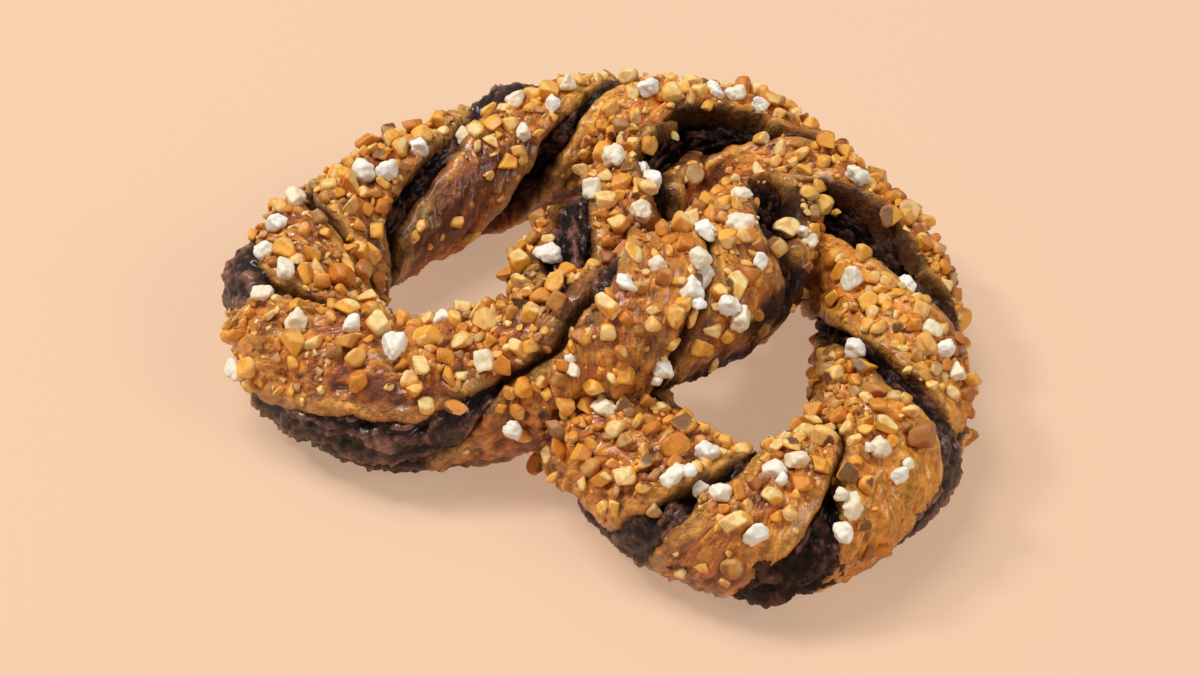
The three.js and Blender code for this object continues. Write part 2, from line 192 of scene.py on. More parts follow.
# ------------------------------------------------------------------ the two spiral grooves
# where each groove's middle lies: distance mm, angle about the rope in degrees, half width mm, swell mm (how far the filling stands against the
# rope's radius). Between these places the groove keeps to the rope's twist.
ROUTE_0 = [(14, None, 3.6, -2.0), (30, None, 3.8, -2.2), (37, 70, 5.0, -1.6), (43, 84, 6.4, -1.6), (49, 92, 6.0, -1.8), (54, 118, 4.2, -2.0), (60, None, 3.6, -1.8), (80, None, 3.8, -1.6), (96, None, 3.0, -0.8),
           (104.5, -26, 3.0, 0.2), (105.6, -6, 3.2, 0.2), (107.2, 14, 3.1, -0.6), (109.0, 33, 2.7, -1.6), (110.8, 52, 2.2, -2.0), (112.6, 70, 1.0, -1.6), (118, None, 3.0, -2.0),
           (144, None, 3.8, 0.2), (153.5, -6, 4.0, 0.9), (155.0, 18, 3.4, 0.0), (155.9, 42, 2.8, -1.8), (157.4, 64, 2.8, -2.4), (159.4, 86, 3.2, -2.8), (164.2, 106, 2.8, -3.0), (172, 133, 2.6, -2.8), (180, 160, 3.2, -2.4), (190, 188, 3.2, -2.4),
           (214, None, 3.8, -1.6), (235, 90, 2.4, -2.4), (240, 102, 4.2, -4.0), (245, 114, 5.8, -4.9), (250, 125, 6.6, -4.9), (257, 142, 5.8, -4.4), (264, None, 3.6, -2.4),
           (286, 24, 4.4, 0.6), (294, 50, 4.6, 1.6), (300.5, 72, 2.2, -1.2), (307.5, 92, 2.0, -1.8), (315.5, 112, 3.0, -2.4), (322, 126, 3.2, -2.8), (329.5, 140, 3.2, -2.8), (335, 156, 3.2, -2.8), (344, None, 3.6, -2.4),
           (354, 22, 4.2, 1.6), (358.5, 42, 4.2, 1.6), (363, 66, 1.6, -0.8), (369, 92, 1.4, -1.4), (376, 122, 1.6, -1.8), (400, None, 3.6, -1.6), (424, None, 3.2, -1.6), (431, None, 0.9, -1.6),
           (438, None, 0.7, -1.4), (443, None, 0.7, -1.4), (448, None, 0.7, -1.4), (456, None, 0.7, -0.8), (464, None, 0.9, -1.0), (474, None, 3.6, -2.2), (484, None, 4.6, -2.6), (498, None, 3.4, -2.0)]
ROUTE_1 = [(1, 126, 5.0, -3.4), (6, 120, 6.0, -4.4), (12, 113, 6.2, -4.6), (18, 110, 5.2, -3.8), (27, None, 3.6, -2.2), (50, None, 4.4, -1.6), (62, None, 3.8, -1.8), (90, None, 4.2, -1.4),
           (116, None, 3.8, -0.2), (123.4, -34, 4.3, 0.8), (125.4, -12, 4.2, 0.8), (127.2, 8, 3.9, 0.4), (129.0, 24, 3.3, -0.8), (130.8, 42, 2.5, -1.8), (132.7, 58, 1.8, -2.0), (135.4, 78, 0.9, -1.6), (142, 104, 0.7, -1.2), (150, None, 3.0, -2.0),
           (172, None, 4.2, -1.2), (183, 60, 3.4, -2.0), (188.5, 74, 4.6, -3.2), (194, 83, 5.6, -4.2), (199, 91, 6.4, -4.8), (205, 101, 7.0, -5.0), (211, 115, 7.2, -5.0), (218, 138, 5.6, -4.0), (228, None, 4.2, -2.2),
           (256, None, 4.2, -1.4), (274, 76, 2.0, -1.0), (281, 108, 2.2, -1.8), (287, 133, 3.4, -3.0), (291.5, 154, 4.0, -3.4), (297, 176, 4.4, -3.4), (302, 196, 4.4, -3.2), (307, 214, 4.2, -2.8),
           (325, None, 3.6, -1.4), (336, 44, 1.4, -0.8), (342, 76, 1.2, -1.2), (346, 112, 1.4, -1.6), (350, 146, 2.0, -2.0), (358, None, 3.6, -1.6),
           (371, -34, 5.0, -0.2), (378, -21, 6.2, -0.2), (385, -10, 7.6, 0.0), (392, -2, 7.2, 0.0), (398, 7, 5.6, -0.2), (403, 20, 4.6, -0.8), (408, 35, 2.8, -1.8), (415, 42, 1.2, -2.0), (423, 43, 1.2, -2.2), (429, 49, 1.2, -2.0), (433, 74, 1.6, -1.6),
           (438, 100, 2.4, -1.4), (446, None, 3.4, -1.4), (462, None, 3.6, -1.8), (470, 52, 5.4, -3.4), (477, 64, 6.4, -4.6), (484, 82, 6.0, -4.6), (490, 98, 5.0, -3.6), (499, None, 3.4, -2.0)]


def route(rows, g):
    """The groove's middle in the unrolled skin, every half millimetre: distance, unwrapped angle (radians), half width, swell, and run (mm)."""
    tw = np.degrees(np.interp([r[0] for r in rows], _s, np.radians(_f[:, 4]))) + 180.0 * g
    ang = []
    for (d, a, hw, sw), t in zip(rows, tw):
        ang.append(t if a is None else t + ((a - t + 180.0) % 360.0 - 180.0))
    P = np.array([(r[0], math.radians(a), r[2], r[3]) for r, a in zip(rows, ang)])
    # where the twist rules, follow it between places
    out = []
    for i in range(len(P) - 1):
        n = max(4, int((P[i + 1, 0] - P[i, 0]) / 0.8), int(abs(P[i + 1, 1] - P[i, 1]) * 13 / 0.8))
        t = (np.arange(n) / n)[:, None]
        p0, p1, p2, p3 = P[max(i - 1, 0)], P[i], P[i + 1], P[min(i + 2, len(P) - 1)]
        m1, m2 = (p2 - p0) / max(p2[0] - p0[0], 1e-6), (p3 - p1) / max(p3[0] - p1[0], 1e-6)
        h = p2[0] - p1[0]
        m1, m2 = m1 * h, m2 * h
        lim = 2.6 * np.abs(p2 - p1) + 1e-9
        m1, m2 = np.clip(m1, -lim, lim), np.clip(m2, -lim, lim)
        m1[0] = m2[0] = h
        out.append((2 * t ** 3 - 3 * t ** 2 + 1) * p1 + (t ** 3 - 2 * t ** 2 + t) * m1 + (-2 * t ** 3 + 3 * t ** 2) * p2 + (t ** 3 - t ** 2) * m2)
    out.append(P[-1:])
    Q = np.concatenate(out)
    R = np.interp(Q[:, 0], _s, _f[:, 3])
    step = np.hypot(np.diff(Q[:, 0]), np.diff(Q[:, 1]) * 0.5 * (R[1:] + R[:-1]))
    run = np.r_[0, np.cumsum(step)]
    u = np.arange(0, run[-1], 0.55)
    return np.stack([np.interp(u, run, Q[:, k]) for k in range(4)] + [u], 1)


LINES = [route(ROUTE_0, 0), route(ROUTE_1, 1)]


def edge_noise(u, g, side):
    """Ragged run of a lip along its groove, mm."""
    p = np.stack([u / 9.0, np.full_like(u, 3.1 + 7 * g), 1.7 + 5 * side], -1)
    q = np.stack([u / 2.8, np.full_like(u, 9.1 + 7 * g), 4.7 + 5 * side], -1)
    return 1.9 * fbm(p, 3, 11) + 0.55 * perlin(q, 12)


def to_line(SS, TH, RR, g):
    """Distance (mm) in the unrolled skin from points to a groove's middle, which side they lie on, and where along it (run mm, half width)."""
    L = LINES[g]
    shape = SS.shape
    S1, T1, R1 = SS.ravel(), TH.ravel(), RR.ravel()
    best = np.full(S1.shape, 1e9)
    near = np.zeros(S1.shape, int)
    order = np.argsort(S1, kind="stable")
    lo = S1[order]
    for i in range(0, len(order), 4000):
        idx = order[i:i + 4000]
        k0 = max(np.searchsorted(L[:, 0], lo[i] - 16) - 1, 0)
        k1 = min(np.searchsorted(L[:, 0], lo[min(i + 3999, len(lo) - 1)] + 16) + 1, len(L))
        if k1 - k0 < 2:
            k0, k1 = (0, 2) if k0 == 0 else (len(L) - 2, len(L))
        seg = L[k0:k1]
        dT = T1[idx, None] - seg[None, :, 1]
        dT = (dT + math.pi) % (2 * math.pi) - math.pi
        d2 = (S1[idx, None] - seg[None, :, 0]) ** 2 + (dT * R1[idx, None]) ** 2
        j = d2.argmin(1)
        best[idx] = np.sqrt(d2[np.arange(len(idx)), j])
        near[idx] = j + k0
    a = np.clip(near - 1, 0, len(L) - 1)
    b = np.clip(near + 1, 0, len(L) - 1)
    dT = (T1 - L[near, 1] + math.pi) % (2 * math.pi) - math.pi
    ds = S1 - L[near, 0]
    dir_s, dir_t = L[b, 0] - L[a, 0], (L[b, 1] - L[a, 1]) * R1
    n = np.hypot(dir_s, dir_t) + 1e-9
    cross = (dir_s * dT * R1 - dir_t * ds) / n
    side = cross > 0
    return best.reshape(shape), side.reshape(shape), L[near, 4].reshape(shape), L[near, 2].reshape(shape), (dir_s / n).reshape(shape), (dir_t / n).reshape(shape)


def floor_soft(z, lift=0.0, k=0.9):
    """Presses what is below the resting plane flat, with a rounded foot."""
    return lift + 0.5 * ((z - lift) + np.sqrt((z - lift) ** 2 + k * k)) - 0.5 * k * 0.0


def make_mesh(name, verts, faces, colour=None, smooth_shade=True, uv=None, extra=None):
    me = bpy.data.meshes.new(name)
    me.from_pydata((verts * 1e-3).tolist(), [], faces)
    me.validate()
    if colour is not None:
        a = me.color_attributes.new("tone", "FLOAT_COLOR", "POINT")
        a.data.foreach_set("color", np.c_[colour, np.ones(len(colour))].astype(np.float32).ravel())
    for key, val in (extra or {}).items():
        a = me.attributes.new(key, "FLOAT", "POINT")
        a.data.foreach_set("value", np.asarray(val, np.float32))
    if uv is not None:
        layer = me.uv_layers.new(name="OFBake")
        layer.data.foreach_set("uv", np.asarray(uv, np.float32).ravel())
    if smooth_shade:
        me.polygons.foreach_set("use_smooth", np.ones(len(me.polygons), bool))
    me.update()
    ob = bpy.data.objects.new(name, me)
    bpy.context.scene.collection.objects.link(ob)
    return ob


def grid_faces(n, m):
    i = np.arange(n - 1)[:, None] * m
    j = np.arange(m)[None, :]
    k = (j + 1) % m
    f = np.stack([i + j, i + m + j, i + m + k, i + k], -1).reshape(-1, 4)
    return f


def strip_uv(n, m, rows):
    """One uv for each corner of grid_faces: the long strip is folded into rows."""
    i = np.repeat(np.arange(n - 1), m)
    j = np.tile(np.arange(m), n - 1)
    per = int(math.ceil((n - 1) / rows))
    row = i // per
    a0 = (i - row * per) / per
    a1 = (i + 1 - row * per) / per
    b0 = (row + 0.02 + 0.96 * j / m) / rows
    b1 = (row + 0.02 + 0.96 * (j + 1) / m) / rows
    u = lambda a: 0.004 + 0.992 * a
    return np.stack([np.stack([u(a0), b0], 1), np.stack([u(a1), b0], 1), np.stack([u(a1), b1], 1), np.stack([u(a0), b1], 1)], 1)


def cap(verts, faces, uvs, ring, flip):
    """Closes a ring with a fan."""
    m = len(verts)
    mid = verts[ring].mean(0)
    n = len(ring)
    tri = [[m, int(ring[(j + 1) % n]), int(ring[j])] if flip else [m, int(ring[j]), int(ring[(j + 1) % n])] for j in range(n)]
    return np.r_[verts, mid[None]], faces + tri, np.r_[uvs, np.full((n * 3, 2), 0.001)]


# ------------------------------------------------------------------ dough
RINGS, M = 940, 168
s = np.linspace(0, LENGTH, RINGS)
rope = Rope(s)
phi = np.arange(M) * 2 * math.pi / M
SG, PH = np.meshgrid(s, phi, indexing="ij")
PH = PH + rope.twist[:, None]                    # rows of the grid run with the twist
R2 = rope.R[:, None] * np.ones_like(PH)


def band_surface(SG, TH, rope):
    """Radius of the dough and what its colour follows, on a grid of distance and angle."""
    R2 = rope.R[:, None] * np.ones_like(TH)
    P0 = rope.c[:, None, :] + R2[..., None] * rope_out(rope, TH)
    dist, side, run, hw, ts, tt = to_line(SG, TH, R2, 0)
    e0 = np.maximum(hw + edge_noise(run, 0, side * 1.0) * smooth(0.6, 2.4, hw), 0.5)
    other = to_line(SG, TH, R2, 1)
    e1 = np.maximum(other[3] + edge_noise(other[2], 1, other[1] * 1.0) * smooth(0.6, 2.4, other[3]), 0.5)
    which = (other[0] - e1) < (dist - e0)
    x = np.where(which, other[0] - e1, dist - e0)                # mm past the lip, on the dough
    x2 = np.where(which, dist - e0, other[0] - e1)               # mm from the other groove's lip
    side = np.where(which, other[1], side)
    run = np.where(which, other[2], run)
    ts, tt = np.where(which, other[4], ts), np.where(which, other[5], tt)
    wid = np.where(which, e1, e0)
    which = which.astype(float)
    shut = smooth(2.6, 1.0, wid)                                 # narrow places, where the lips nearly meet
    b1, b2 = worley(P0 / 5.2, 12)
    blister = 0.75 * smooth(0.62, 0.1, b1) * smooth(-0.2, 0.35, fbm(P0 / 9.0, 2, 13))
    crackle = -0.42 * smooth(0.16, 0.0, b2 - b1) * smooth(-0.1, 0.3, fbm(P0 / 12.0, 2, 14))
    sheet = 3.2 * fbm(np.stack([run / 13.0, x / 4.4 + which * 7.0 + side * 3.0, R2 * 0 + 1.5], -1) + 0.35 * np.stack([perlin(P0 / 3.0, 9)] * 3, -1), 3, 10)
    step = np.floor(sheet) + smooth(0.62, 1.0, sheet - np.floor(sheet))
    flake = 0.55 * (step - sheet) + 0.18 * step
    fine_lump = 0.80 * fbm(P0 / 2.6, 2, 8) + 0.40 * perlin(P0 / 1.35, 18)
    c1, c2 = worley(P0 / 3.5, 33)
    peb = smooth(0.52, 0.12, c1) * smooth(-0.25, 0.2, fbm(P0 / 11.0, 2, 34))
    fine_lump = fine_lump + 0.62 * peb
    lump = 1.35 * fbm(P0 / 17.0, 2, 3) + 1.15 * fbm(P0 / 6.5, 2, 5) + fine_lump + blister + crackle + flake * smooth(-0.35, 0.25, fbm(P0 / 15.0, 2, 19))
    # layers of the rolled sheet run along the band, strongest by its lips
    ridge_pos = x * 0.95 + 1.3 * perlin(np.stack([run / 16.0, side * 1.5, which * 4.0 + side * 9.0], -1), 21)
    along = 0.55 + 0.45 * perlin(np.stack([run / 12.0, side * 2.0, which * 2.2], -1), 23)
    ridge = np.sin(ridge_pos * 2 * math.pi / 1.55)
    ridge = np.sign(ridge) * np.abs(ridge) ** 0.8
    layer = 0.34 * ridge * np.clip(along, 0, 1) * np.exp(-np.maximum(x, 0) / 4.2) * smooth(-0.3, 0.8, x) * smooth(1.0, 4.0, x2 + 1.0)
    wrinkle = 0.16 * perlin(np.stack([run / 9.0, x / 1.5, which * 5.0], -1), 29) + 0.10 * perlin(np.stack([run / 3.2, x / 1.1, which * 5.0], -1), 31)
    mid = np.clip(x / 15.0, 0, 1)
    r = R2 * (0.905 + 0.105 * np.sin(mid * math.pi / 2) ** 0.8)
    r = r + 1.1 * np.exp(-((x - 1.7) / 1.5) ** 2) * (0.6 + 0.5 * perlin(np.stack([run / 14.0, which * 3.0 + side * 1.0, np.full_like(x, 8.8)], -1), 37)) * (1 - 0.5 * shut)   # rolled lip
    r = r + lump * smooth(-1, 3, x) + layer + wrinkle * smooth(0, 2, x)
    drop = smooth(0.7, -1.1, x)
    r = r - drop * (6.4 - 4.4 * shut)
    p1, p2 = worley(P0 / 4.6, 35)
    pit = smooth(0.34, 0.12, p1) * smooth(-0.15, 0.2, fbm(P0 / 10.0, 2, 36))
    r = r - 0.75 * pit * smooth(0, 2, x)
    low = fine_lump - 0.1 - 1.5 * pit + 1.3 * crackle + 0.7 * flake + 0.5 * blister + 0.6 * layer
    sgn = np.where(side, -1.0, 1.0)
    lean = 1.1 * np.exp(-((x - 0.4) / 1.1) ** 2) * (1 - 0.6 * shut)
    # lips lean over the filling: across the groove, in distance and angle
    return r, x, lump, ridge, P0, low, sgn * lean * ts / R2, -sgn * lean * tt


def rope_out(rope, TH):
    return np.cos(TH)[..., None] * rope.S[:, None, :] + np.sin(TH)[..., None] * rope.N[:, None, :]


r, x, lump, ridge, P0, low, dth, dsh = band_surface(SG, PH, rope)
TH2 = PH + dth
V = rope.c[:, None, :] + r[..., None] * rope_out(rope, TH2) + dsh[..., None] * rope.T[:, None, :]
V = V.reshape(-1, 3)
z_raw = V[:, 2].copy()
V[:, 2] = floor_soft(V[:, 2], 0.0, 0.5)
dough_V = V
faces = grid_faces(RINGS, M)
uv = strip_uv(RINGS, M, 2).reshape(-1, 2)
fl = faces.tolist()
Vc, fl, uv = cap(V, fl, uv, np.arange(M), False)
Vc, fl, uv = cap(Vc, fl, uv, np.arange(M) + (RINGS - 1) * M, True)

# colour of the crust
PALE, GOLD, AMBER = srgb(246, 192, 92), srgb(236, 152, 50), srgb(206, 114, 36)
BROWN, DARK, STAIN_AND_SHADE = srgb(154, 80, 32), srgb(96, 48, 24), srgb(60, 32, 24)
Pn = dough_V
xf, lf, lowf = x.reshape(-1), lump.reshape(-1), low.reshape(-1)
# browning of the crust by place, partly real and partly painted: the darkening on the inner flanks and on strand A's
# right flank is painted shade, and the lightening on the far arc's top and the right lobe's glaze is painted light;
# distance, angle, half length, half angle, change of tone
BAKE_LIGHT_AND_SHADE = [(146, 36, 24, 80, -0.80), (188, 100, 24, 60, -0.50), (266, 100, 26, 60, -0.36), (240, 128, 10, 22, -0.55), (398, 46, 14, 16, 0.30), (118, 16, 12, 34, 0.30), (200, 128, 18, 30, -0.2), (110, 25, 26, 60, -0.20), (360, 20, 30, 50, -0.18), (446, 60, 16, 60, -0.16), (398, 46, 14, 18, 0.16), (318, 165, 34, 40, 0.62), (262, 165, 30, 40, 0.5), (446, 70, 13, 40, -0.12), (205, 150, 22, 36, 0.3), (60, 150, 30, 34, 0.45),
        (360, 60, 22, 60, -0.12), (455, -30, 14, 24, 0.9), (425, 104, 9, 26, 0.55), (470, 60, 9, 50, 0.2)]
an = np.degrees(PH).reshape(-1)
sn = SG.reshape(-1)
bake_light_and_shade = 0.0
for sc, ac, hs, ha, k in BAKE_LIGHT_AND_SHADE:
    da = (an - ac + 180.0) % 360.0 - 180.0
    bake_light_and_shade = bake_light_and_shade + k * np.exp(-((sn - sc) / hs) ** 2 - (da / ha) ** 2)
tone = 0.37 + bake_light_and_shade + 0.66 * fbm(Pn / 13.0, 3, 41) + 0.74 * fbm(Pn / 3.2, 3, 43) - 0.58 * lowf + 0.5 * smooth(0.18, 0.4, fbm(Pn / 4.4, 2, 45)) * np.exp(-((sn - 146) / 22) ** 2)
col = mix(GOLD, AMBER, smooth(0.15, 0.5, tone))
col = mix(col, BROWN, smooth(0.42, 0.82, tone))
col = mix(col, DARK, 0.75 * smooth(0.72, 1.15, tone))
col = mix(col, PALE, 0.6 * smooth(0.2, 0.75, lowf))
lipmask = np.exp(-((xf - 1.2) / 1.8) ** 2) * smooth(-0.4, 0.4, fbm(Pn / 9.0, 2, 47) + 0.05)
col = mix(col, PALE, 0.55 * lipmask)
# painted shade: the crust is darker in the furrows between the layers by the lips
rid = np.clip(-ridge.reshape(-1), 0, 1) * np.exp(-np.maximum(xf, 0) / 5.0)
col = mix(col, DARK, 0.5 * rid)
# painted shade: the far wall of the two open pockets is darkened with the dark stain colour
pocket_shade = 0.0
for s0, s1, a0, rate in ((184, 217, 74 - 188.5 * 1.8, 1.8), (241, 260, 100 - 238.5 * 2.4, 2.4)):      # the far wall of the two open pockets
    da = (an - (a0 + rate * sn) + 180.0) % 360.0 - 180.0
    pocket_shade = pocket_shade + smooth(5, -3, da) * smooth(-75, -55, da) * smooth(s0 - 4, s0 + 2, sn) * smooth(s1 + 4, s1 - 2, sn)
# the dough's walls down into the grooves are darkened, partly chocolate stain and partly painted shade
stain_and_groove_shade = smooth(1.3, -0.35, xf - 1.0 * pocket_shade + 1.2 * fbm(Pn / 2.2, 3, 49))
col = mix(col, STAIN_AND_SHADE, 0.92 * stain_and_groove_shade)
smear = smooth(0.26, 0.46, fbm(Pn / 8.0, 3, 53)) * 0.7
col = mix(col, srgb(104, 56, 34), smear)
speck = smooth(0.38, 0.62, fbm(Pn / 2.0, 2, 55))
col = mix(col, srgb(74, 38, 24), 0.55 * speck)
# dark patches, partly chocolate smear and partly painted shade in the gaps where strand ends meet other strands and on
# strand A's right flank
smear_and_gap_shade = np.zeros(len(xf))
for sc, ac, hs, ha, k in [(482, 62, 5, 15, 0.95), (384, -44, 22, 24, 0.95), (468, -5, 9, 34, 0.92), (452, -34, 15, 17, 0.9), (462, 8, 13, 16, 0.9), (486, 50, 8, 18, 0.9), (425, 112, 9, 20, 0.8), (50, 36, 7, 26, 0.7), (2, 128, 5, 26, 0.95)]:
    da = (an - ac + 180.0) % 360.0 - 180.0
    w = k * smooth(0.25, 0.6, np.exp(-((sn - sc) / hs) ** 2 - (da / ha) ** 2) + 0.35 * fbm(Pn / 5.0, 3, 57))
    col = mix(col, srgb(48, 25, 19), w)
    smear_and_gap_shade = np.maximum(smear_and_gap_shade, w)
# painted light: brightens and warms the crust on the right lobe's glaze, the far arc's top and a few other places
for sc, ac, hs, ha, k in [(146, 32, 20, 44, 0.55), (268, 104, 24, 44, 0.42), (190, 104, 20, 44, 0.32), (243, 134, 9, 20, 0.35), (398, 46, 12, 14, 0.2)]:
    da = (an - ac + 180.0) % 360.0 - 180.0
    col = col * (1 + (k * (1 - stain_and_groove_shade) * np.exp(-((sn - sc) / hs) ** 2 - (da / ha) ** 2))[:, None] * np.array([1.0, 0.62, 0.35]))
col = np.clip(col, 0, 0.96)
under = smooth(2.2, 0.1, z_raw)
glaze = (1 - 0.93 * stain_and_groove_shade) * (1 - 0.7 * smear_and_gap_shade) * (1 - 0.5 * under)
glaze = np.r_[glaze, glaze[:1], glaze[-1:]]
col = mix(col, srgb(150, 92, 44), 0.75 * under)
col = np.r_[col, col[:1], col[-1:]]
pastry = make_mesh("pastry_dough", Vc, fl, col, uv=uv, extra={"glaze": glaze})

# ------------------------------------------------------------------ filling: one lumpy strip in each spiral groove
fill_objs = []
fill_V, fill_F, fill_uv, fill_col, fill_gloss = [], [], [], [], []
base_index = 0
for g in (0, 1):
    L = LINES[g]
    n = len(L)
    top = np.linspace(-1, 1, 32)
    hw = np.convolve(np.pad(L[:, 2], 6, mode="edge"), np.ones(13) / 13, mode="valid")
    swell = np.convolve(np.pad(L[:, 3], 6, mode="edge"), np.ones(13) / 13, mode="valid") - 2.6 * smooth(2.6, 1.2, hw)
    Rl = np.interp(L[:, 0], _s, _f[:, 3])
    ds, dt = np.gradient(L[:, 0]), np.gradient(L[:, 1]) * Rl
    k = np.ones(15) / 15
    ds = np.convolve(np.pad(ds, 7, mode="edge"), k, mode="valid")
    dt = np.convolve(np.pad(dt, 7, mode="edge"), k, mode="valid")
    nn = np.hypot(ds, dt)
    ds, dt = ds / nn, dt / nn
    ext = hw + 2.6
    A = top[None, :] * ext[:, None]                        # mm across
    run = L[:, 4][:, None] + 0 * A

    def place(A, fac, add_r):
        SS = np.clip(L[:, 0][:, None] - A * dt[:, None], 0.8, LENGTH - 0.8)
        TT = L[:, 1][:, None] + A * ds[:, None] / Rl[:, None]
        rp = Rope(SS.ravel())
        o = np.cos(TT.ravel())[:, None] * rp.S + np.sin(TT.ravel())[:, None] * rp.N
        rad = rp.R * fac + np.asarray(add_r + 0 * SS).ravel()
        return (rp.c + rad[:, None] * o).reshape(SS.shape + (3,))

    P = place(A, 1.0, 0.0)
    f1, f2 = worley(P / 2.9, 61 + g)
    h1, h2 = worley(P / 1.45, 63 + g)
    crumb = (0.75 * (0.5 - f1) + 0.38 * (0.5 - h1)) * (0.45 + smooth(-0.3, 0.3, fbm(P / 5.0, 2, 62)))
    warp = 2.2 * perlin(np.stack([run / 7.0, A / 5.0, 0 * A + 9 * g], -1), 64)
    fib = 1.35 * perlin(np.stack([run / 7.0, (A + warp) / 1.9, 0 * A + 3 * g], -1), 67) + 0.75 * (0.35 - np.abs(perlin(np.stack([run / 4.0, (A + warp) / 1.25, 0 * A + 3 * g], -1), 69))) + 0.55 * (0.3 - np.abs(perlin(P / 1.7, 68))) * 2
    big = 1.5 * fbm(P / 6.0, 2, 71)
    crown = -0.16 * np.abs(A) ** 1.5 * np.minimum(1, 4.5 / ext[:, None])
    rough = (0.9 + 0.6 * smooth(4.5, 7.0, hw))[:, None]
    Vt = place(A, 0.975, swell[:, None] + crown + rough * (crumb + fib + big) + 0.38 * fbm(P / 0.95, 2, 73))
    bot = np.linspace(1, -1, 8)
    Vb = place(bot[None, :] * ext[:, None] * 0.8, 0.5, 0.0)
    ring = np.concatenate([Vt, Vb], 1)
    m = ring.shape[1]
    W = ring.reshape(-1, 3)
    W[:, 2] = floor_soft(W[:, 2], 0.15, 0.4)
    F = grid_faces(n, m).tolist()
    U = strip_uv(n, m, 4).reshape(-1, 2)
    U = U * [1, 0.5] + [0, 0.5 * g]
    W, F, U = cap(W, F, U, np.arange(m), False)
    W, F, U = cap(W, F, U, np.arange(m) + (n - 1) * m, True)
    hgt = np.concatenate([crumb + fib + 0.6 * big, np.full((n, 8), -0.5)], 1).reshape(-1)
    PP = np.concatenate([P, np.repeat(P[:, -1:], 8, 1)], 1).reshape(-1, 3)
    # darker in the hollows of the relief and lighter on its crests: painted shade and a painted highlight
    c = mix(srgb(18, 9, 7), srgb(72, 38, 29), smooth(-0.55, 0.7, hgt + 0.5 * fbm(PP / 5.0, 2, 77)))
    c = mix(c, srgb(152, 104, 88), 0.95 * smooth(0.34, 0.9, hgt + 0.55 * fbm(PP / 1.3, 2, 78)))
    c = mix(c, srgb(132, 78, 42), 0.6 * smooth(0.36, 0.55, fbm(PP / 4.0, 2, 79)))
    # painted shade: the filling is darkened where it sits deep in the groove, and on the right lobe's lower front near
    # distance 125 of the second groove
    deep = 0.22 + 0.78 * smooth(-3.6, -0.2, swell)
    deep = deep * (1 - (0.62 if g else 0.0) * np.exp(-((L[:, 0] - 125) / 8.0) ** 2))
    c = c * np.repeat(deep, m)[:, None]
    fill_gloss.append(np.r_[np.repeat(deep, m), deep[:1], deep[-1:]])
    c = np.r_[c, c[:1], c[-1:]]
    fill_V.append(W)
    fill_F += [[i + base_index for i in q] for q in F]
    fill_uv.append(U)
    fill_col.append(c)
    base_index += len(W)
filling = make_mesh("chocolate_swirl", np.concatenate(fill_V), fill_F, np.concatenate(fill_col), uv=np.concatenate(fill_uv), extra={"open": np.concatenate(fill_gloss)})

# ------------------------------------------------------------------ toppings
rng = np.random.default_rng(20)


def icosphere(sub):
    t = (1 + 5 ** 0.5) / 2
    v = [(-1, t, 0), (1, t, 0), (-1, -t, 0), (1, -t, 0), (0, -1, t), (0, 1, t), (0, -1, -t), (0, 1, -t), (t, 0, -1), (t, 0, 1), (-t, 0, -1), (-t, 0, 1)]
    f = [(0, 11, 5), (0, 5, 1), (0, 1, 7), (0, 7, 10), (0, 10, 11), (1, 5, 9), (5, 11, 4), (11, 10, 2), (10, 7, 6), (7, 1, 8),
         (3, 9, 4), (3, 4, 2), (3, 2, 6), (3, 6, 8), (3, 8, 9), (4, 9, 5), (2, 4, 11), (6, 2, 10), (8, 6, 7), (9, 8, 1)]
    v = [np.array(p) / np.linalg.norm(p) for p in v]
    for _ in range(sub):
        mid, nf = {}, []

        def m(a, b):
            k = (min(a, b), max(a, b))
            if k not in mid:
                p = v[a] + v[b]
                v.append(p / np.linalg.norm(p))
                mid[k] = len(v) - 1
            return mid[k]
        for a, b, c in f:
            ab, bc, ca = m(a, b), m(b, c), m(c, a)
            nf += [(a, ab, ca), (b, bc, ab), (c, ca, bc), (ab, bc, ca)]
        f = nf
    return np.array(v), np.array(f)


ICO = {k: icosphere(k) for k in (1, 2, 3)}


def chunk(dirs, rng, kind, sharp=34.0):
    """A chopped piece: a rounded lump cut by flat faces. Returns points inside the unit ball, which cut each lies on, and how near an edge it is."""
    sharp = sharp * rng.uniform(0.8, 1.5)
    if kind == "block":
        q, _ = np.linalg.qr(rng.normal(size=(3, 3)))
        n = np.concatenate([q, -q]) + 0.26 * rng.normal(size=(6, 3))
        d = rng.uniform(0.50, 0.78, 6)
        n = np.concatenate([n, rng.normal(size=(2, 3))])
        d = np.r_[d, rng.uniform(0.68, 0.9, 2)]
    elif kind == "wedge":
        n = rng.normal(size=(5, 3))
        for i in range(1, 5):
            for _ in range(12):
                if (n[:i] @ n[i] / np.linalg.norm(n[:i], axis=1) / np.linalg.norm(n[i])).max() > 0.2:
                    n[i] = rng.normal(size=3)
        d = rng.uniform(0.34, 0.6, 5)
    else:
        n = rng.normal(size=(9, 3))
        d = rng.uniform(0.62, 0.9, 9)
    n = n / np.linalg.norm(n, axis=1)[:, None]
    a = np.maximum(dirs @ n.T, 0) / d
    a = np.concatenate([a, np.full((len(dirs), 1), 1.0)], 1)
    terms = a ** sharp
    tot = terms.sum(1)
    r = tot ** (-1 / sharp)
    return dirs * r[:, None], terms.argmax(1), 1 - terms.max(1) / tot, len(d)


dough_tree = BVHTree.FromPolygons([tuple(p) for p in Vc], fl)
fill_tree = BVHTree.FromPolygons([tuple(p) for p in np.concatenate(fill_V)], fill_F)


